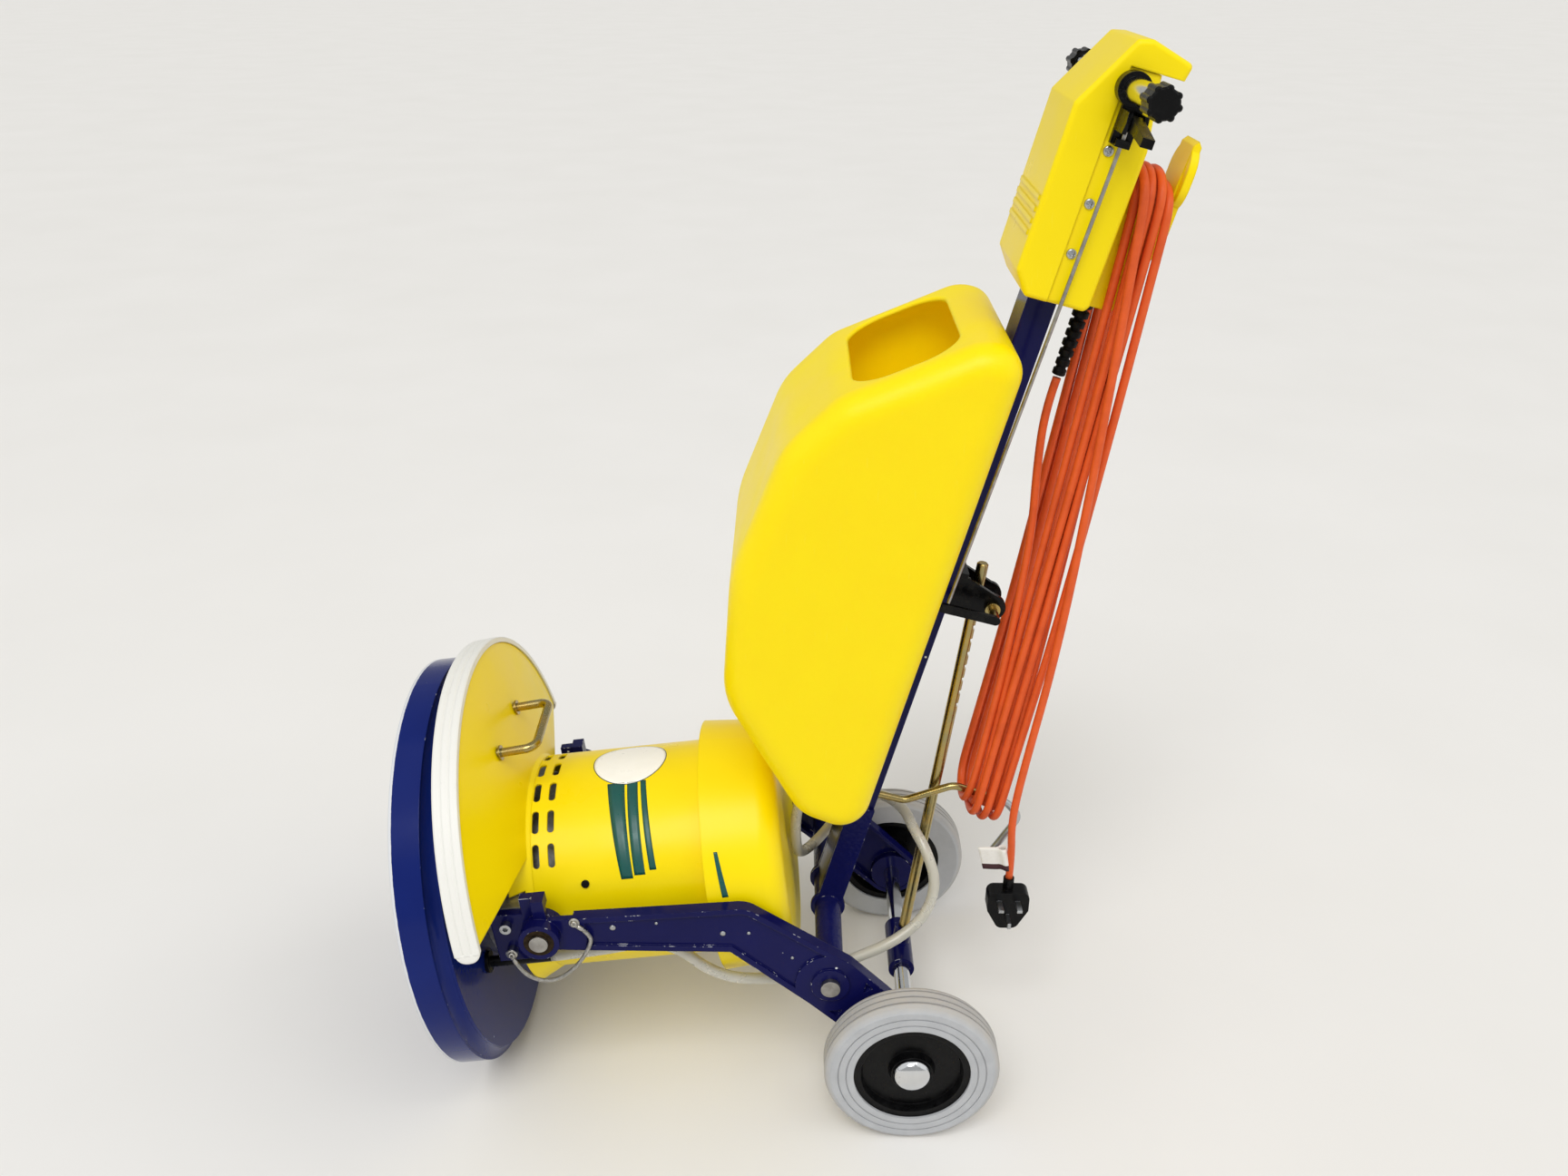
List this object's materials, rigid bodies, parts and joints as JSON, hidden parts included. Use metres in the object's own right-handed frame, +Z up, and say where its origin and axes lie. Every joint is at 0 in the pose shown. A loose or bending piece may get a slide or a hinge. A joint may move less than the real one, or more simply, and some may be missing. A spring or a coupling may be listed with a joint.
{
  "type": "floor scrubber",
  "caption": "Upright rotary floor scrubber with tilting motor head, round deck, wheeled fork, solution tank on the handle, lever-released height lock and wound mains cord.",
  "frame": {"origin": "bottom centre of the machine's bounding box, on the floor", "axes": "+Z up, +X from the deck towards the wheels and handle, Y across the machine"},
  "size_m": [0.8212, 0.5098, 1.1844],
  "materials": {
    "yellow_plastic": "gloss moulding",
    "blue_enamel": "gloss enamel",
    "black_enamel": "satin",
    "white_pvc": "satin",
    "grey_rubber": "matte",
    "black_plastic": "satin",
    "zinc_steel": "zinc plated",
    "chrome_plate": "mirror",
    "yellow_zinc": "yellow passivated",
    "bronze": "plain",
    "orange_pvc": "satin",
    "clear_pvc": "translucent",
    "cast_aluminium": "as cast",
    "gear_steel": "oiled",
    "copper_winding": "enamelled",
    "black_nylon": "satin"
  },
  "bodies": {
    "chassis": {"near_arm": "blue_enamel", "far_arm": "blue_enamel", "wheel_axle": "zinc_steel", "axle_caps": "chrome_plate", "handle_pivot_bolt": "zinc_steel", "pivot_bushes": "bronze", "solution_hose": "clear_pvc"},
    "near_wheel": {"near_tyre": "grey_rubber", "near_hub": "black_plastic"},
    "far_wheel": {"far_tyre": "grey_rubber", "far_hub": "black_plastic"},
    "head": {"deck": "blue_enamel", "hood": "yellow_plastic", "bumper": "white_pvc", "lift_handle": "yellow_zinc", "pivot_brackets": "blue_enamel", "pivot_pins": "zinc_steel", "head_screws": "zinc_steel", "motor_barrel": "yellow_plastic", "motor_cap": "yellow_plastic", "gearbox_case": "cast_aluminium", "motor_plate": "cast_aluminium", "stator_core": "gear_steel", "stator_windings": "copper_winding", "motor_frame": "cast_aluminium", "motor_end_bell": "cast_aluminium", "bearings": "gear_steel", "run_capacitor": "cast_aluminium", "hose_inlet": "black_plastic", "earth_strap": "zinc_steel"},
    "rotor": {"rotor_shaft": "gear_steel", "rotor_core": "gear_steel", "cooling_fan": "black_nylon"},
    "layshaft": {"layshaft": "gear_steel"},
    "drive": {"output_gear": "gear_steel", "drive_hub": "black_nylon"},
    "handle": {"handle_tube": "blue_enamel", "handle_foot": "blue_enamel", "clevis": "black_enamel", "tank": "yellow_plastic", "tank_outlet": "black_plastic", "housing_front": "yellow_plastic", "housing_rear": "yellow_plastic", "housing_screws": "zinc_steel", "t_bar": "chrome_plate", "t_bar_knobs": "black_plastic", "lever_clamp": "black_enamel", "cord_cleat": "yellow_plastic", "cord_hook": "yellow_zinc", "strain_relief": "black_plastic", "cord_lead": "orange_pvc", "cord_hank": "orange_pvc", "cord_tail": "orange_pvc", "plug": "black_plastic"},
    "lock_rod": {"lock_rod": "yellow_zinc", "axle_sleeve": "blue_enamel"},
    "release_lever": {"release_lever": "black_plastic"},
    "release_rod": {"release_rod": "zinc_steel"},
    "pawl": {"pawl": "zinc_steel"},
    "power_switch": {"power_switch": "black_plastic"}
  },
  "joints": [
    {"name": "near_wheel_spin", "type": "hinge", "parent": "chassis", "child": "near_wheel", "pos_m": [0.16808, 0, 0.1], "axis": [0, 1, 0], "continuous": true},
    {"name": "far_wheel_spin", "type": "hinge", "parent": "chassis", "child": "far_wheel", "pos_m": [0.16808, 0, 0.1], "axis": [0, 1, 0], "continuous": true},
    {"name": "head_tilt", "type": "hinge", "parent": "chassis", "child": "head", "pos_m": [-0.25053, 0, 0.25733], "axis": [0, -1, 0], "range_deg": [0, 72], "deforming": ["solution_hose", "earth_strap"]},
    {"name": "handle_tilt", "type": "hinge", "parent": "chassis", "child": "handle", "pos_m": [0.07458, 0, 0.19], "axis": [0, 1, 0], "range_deg": [0, 30], "deforming": ["solution_hose"]},
    {"name": "lock_rod_swing", "type": "hinge", "parent": "chassis", "child": "lock_rod", "pos_m": [0.16808, 0, 0.1], "axis": [0, 1, 0], "range_deg": [0, 27]},
    {"name": "lever_squeeze", "type": "hinge", "parent": "handle", "child": "release_lever", "pos_m": [0.32754, -0.094, 1.11611], "axis": [-0.9668, 0, 0.2554], "range_deg": [0, 12], "stiffness_Nm_per_rad": 1.5, "springref_deg": -14.32},
    {"name": "release_rod_push", "type": "slide", "parent": "handle", "child": "release_rod", "axis": [-0.2551, 0.0483, -0.9657], "range_m": [0, 0.00418]},
    {"name": "pawl_swing", "type": "hinge", "parent": "handle", "child": "pawl", "pos_m": [0.24834, 0, 0.59712], "axis": [0, -1, 0], "range_deg": [0, 5]},
    {"name": "power_press", "type": "slide", "parent": "handle", "child": "power_switch", "axis": [-0.997, 0, 0.077], "range_m": [0, 0.003], "stiffness_N_per_m": 600, "springref_m": -0.002},
    {"name": "motor_spin", "type": "hinge", "parent": "head", "child": "rotor", "pos_m": [-0.17802, 0, 0.2467], "axis": [0.9914, 0, 0.1305], "continuous": true},
    {"name": "layshaft_spin", "type": "hinge", "parent": "head", "child": "layshaft", "pos_m": [-0.29293, 0.03848, 0.20016], "axis": [0.9914, 0, 0.1305], "continuous": true},
    {"name": "drive_spin", "type": "hinge", "parent": "head", "child": "drive", "pos_m": [-0.31944, 0, 0.24826], "axis": [0.9914, 0, 0.1305], "continuous": true}
  ],
  "couplings": [
    {"joint": "layshaft_spin", "follows": "motor_spin", "ratio": -0.32},
    {"joint": "drive_spin", "follows": "motor_spin", "ratio": 0.12522},
    {"joint": "lock_rod_swing", "follows": "handle_tilt", "ratio": 0.885},
    {"joint": "lever_squeeze", "follows": "release_rod_push", "rad_per_m": 50},
    {"joint": "pawl_swing", "follows": "release_rod_push", "rad_per_m": 17.857}
  ]
}
